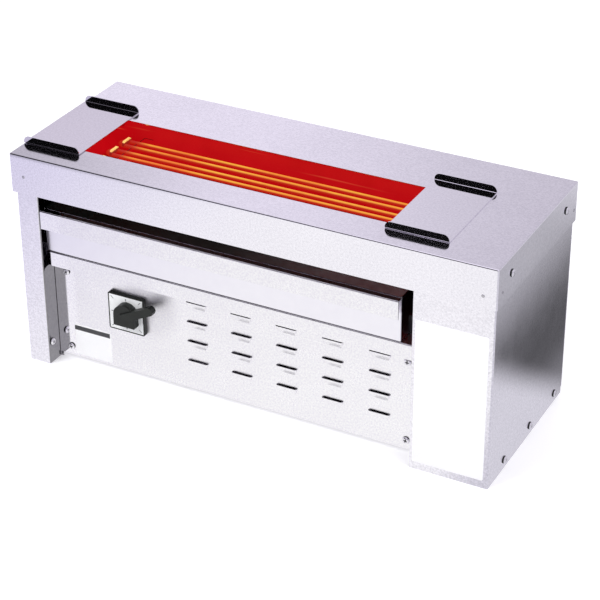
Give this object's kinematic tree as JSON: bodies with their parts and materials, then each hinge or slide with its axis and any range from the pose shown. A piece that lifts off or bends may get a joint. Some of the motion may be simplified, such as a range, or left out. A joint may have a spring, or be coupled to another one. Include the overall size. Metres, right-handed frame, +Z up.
{
  "type": "electric broiler",
  "caption": "Table-top electric broiler: long narrow grill opening over glowing tubes, sliding end plates, drip tray below, louvred front, rotary switch.",
  "frame": {"origin": "middle of the footprint on the surface the broiler stands on, taken from the bounding box", "axes": "+Z up, +X to the right as seen from the front, +Y from the front to the rear"},
  "size_m": [0.5452, 0.2126, 0.253],
  "materials": {
    "stainless": "bright, lightly brushed sheet",
    "heater_sheath": "oxidised sheath, glowing orange",
    "plated_steel": "bright plated",
    "ceramic": "unglazed",
    "black_plastic": "satin",
    "white_plastic": "smooth",
    "black_rubber": "matte"
  },
  "bodies": {
    "frame": {"top_cover": "stainless", "left_side_panel": "stainless", "right_side_cover": "stainless", "partition": "stainless", "base_plate": "stainless", "front_panel": "stainless", "tray_shelf": "stainless", "rear_panel": "stainless", "chamber_front_wall": "stainless", "chamber_rear_wall": "stainless", "chamber_left_wall": "stainless", "heater_tube_1": "heater_sheath", "heater_tube_2": "heater_sheath", "heater_tube_3": "heater_sheath", "heater_support": "stainless", "heater_bushings": "plated_steel", "heater_saddles": "ceramic", "heater_insulators": "ceramic", "heater_studs": "plated_steel", "heater_link": "plated_steel", "tray_guide_left": "stainless", "tray_guide_right": "stainless", "switch_bezel": "black_plastic", "switch_dial": "white_plastic", "switch_body": "black_plastic", "leg_bracket": "stainless", "terminal_block": "black_plastic", "cable_gland": "black_plastic", "gland_nut": "black_plastic", "grommet": "black_rubber", "internal_leads": "black_rubber", "cover_spacers": "stainless", "panel_screws": "plated_steel", "cover_screws_right": "plated_steel", "cover_screws_left": "plated_steel", "side_screws_right": "plated_steel", "side_screws_left": "plated_steel", "rear_screws": "plated_steel", "leg_screw": "plated_steel", "front_rivets": "plated_steel", "side_rivets": "plated_steel"},
    "drip_tray": {"drip_tray_pan": "stainless", "tray_pull": "stainless"},
    "left_plate": {"left_end_plate": "stainless"},
    "right_plate": {"right_end_plate": "stainless"},
    "knob": {"switch_knob": "black_plastic", "switch_shaft": "plated_steel"}
  },
  "joints": [
    {"name": "tray_slide", "type": "slide", "parent": "frame", "child": "drip_tray", "axis": [0, -1, 0], "range_m": [0, 0.11]},
    {"name": "left_plate_slide", "type": "slide", "parent": "frame", "child": "left_plate", "axis": [1, 0, 0], "range_m": [0, 0.165]},
    {"name": "right_plate_slide", "type": "slide", "parent": "frame", "child": "right_plate", "axis": [1, 0, 0], "range_m": [-0.165, 0.012]},
    {"name": "switch_turn", "type": "hinge", "parent": "frame", "child": "knob", "pos_m": [-0.1491, -0.08985, 0.0781], "axis": [0, 1, 0], "range_deg": [0, 90]}
  ]
}
